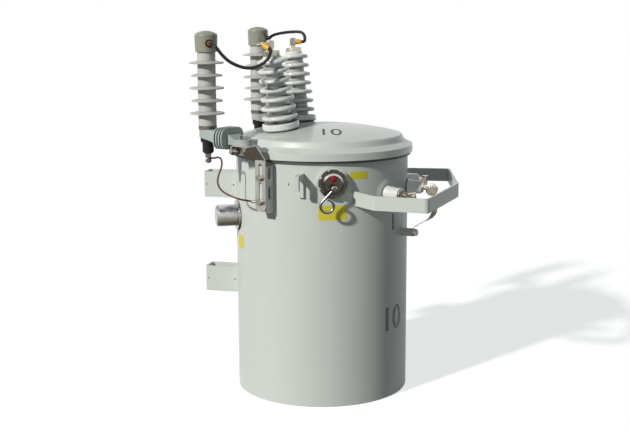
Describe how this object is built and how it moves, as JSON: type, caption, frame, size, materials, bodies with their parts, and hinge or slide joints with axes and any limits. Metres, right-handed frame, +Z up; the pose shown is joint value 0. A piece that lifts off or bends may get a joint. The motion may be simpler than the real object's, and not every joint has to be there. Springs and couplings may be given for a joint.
{
  "type": "pole mounted transformer",
  "caption": "Pole mounted distribution transformer: steel tank, domed cover, high voltage bushings, surge arresters on brackets, guarded low voltage bushings, breaker handle, pole hangers",
  "frame": {"origin": "centre of the tank's lower rim, where it rests", "axes": "+Z up along the tank's axis; +Y towards the pole, out of the hangers; -Y is the low voltage side; the arresters stand on the -X and +X sides"},
  "size_m": [0.6422, 0.7559, 1.045],
  "materials": {
    "tank_paint": "satin",
    "cover_paint": "satin",
    "gasket_rubber": "matte",
    "porcelain": "gloss",
    "polymer": "satin",
    "cap_polymer": "satin",
    "arm_moulding": "satin",
    "black_plastic": "satin",
    "black_rubber": "satin",
    "stainless": "brushed",
    "bronze": "worn",
    "lug_insulation": "satin",
    "copper": "dull",
    "bolt_steel": "brushed",
    "sleeve_orange": "satin",
    "lamp_red": "gloss"
  },
  "bodies": {
    "transformer": {"arrester_cap_left": "cap_polymer", "arrester_cap_right": "cap_polymer", "arrester_housing_left": "polymer", "arrester_housing_right": "polymer", "arrester_ring_left": "stainless", "arrester_ring_right": "stainless", "bracket_bolts_left": "bolt_steel", "bracket_bolts_right": "bolt_steel", "bracket_pad_left": "tank_paint", "bracket_pad_right": "tank_paint", "breaker_boss": "tank_paint", "breaker_collar": "stainless", "breaker_face": "stainless", "breaker_lamp": "lamp_red", "bushing_guard": "tank_paint", "cap_gland_left": "black_rubber", "cap_gland_right": "black_rubber", "cap_sleeve_left": "sleeve_orange", "cap_sleeve_right": "sleeve_orange", "cover_gasket": "gasket_rubber", "disconnector_left": "black_plastic", "disconnector_right": "black_plastic", "ground_boss": "tank_paint", "ground_lead_left": "copper", "ground_lead_right": "copper", "ground_screw": "bolt_steel", "ground_strap": "copper", "ground_stud_left": "stainless", "ground_stud_right": "stainless", "hanger_lower": "tank_paint", "hanger_upper": "tank_paint", "hv_bushing_left": "porcelain", "hv_bushing_right": "porcelain", "hv_gaskets": "gasket_rubber", "hv_terminal_left": "bronze", "hv_terminal_right": "bronze", "insulating_arm_left": "arm_moulding", "insulating_arm_right": "arm_moulding", "jumper_lead_left": "black_rubber", "jumper_lead_right": "black_rubber", "jumper_lug_left": "lug_insulation", "jumper_lug_right": "lug_insulation", "lifting_lugs": "tank_paint", "lv_bosses": "tank_paint", "lv_bushing_1": "porcelain", "lv_bushing_2": "porcelain", "lv_bushing_3": "porcelain", "lv_gaskets": "gasket_rubber", "lv_terminals": "bronze", "metal_bracket_left": "stainless", "metal_bracket_right": "stainless", "tank_bottom": "tank_paint", "tank_cover": "cover_paint", "tank_wall": "tank_paint", "tap_cover": "stainless"},
    "breaker_handle": {"breaker_handle": "stainless"}
  },
  "joints": [
    {"name": "breaker_handle_turn", "type": "hinge", "parent": "transformer", "child": "breaker_handle", "pos_m": [-0.23417, -0.08755, 0.627], "axis": [-0.9367, -0.3502, 0], "range_deg": [0, 60]}
  ]
}
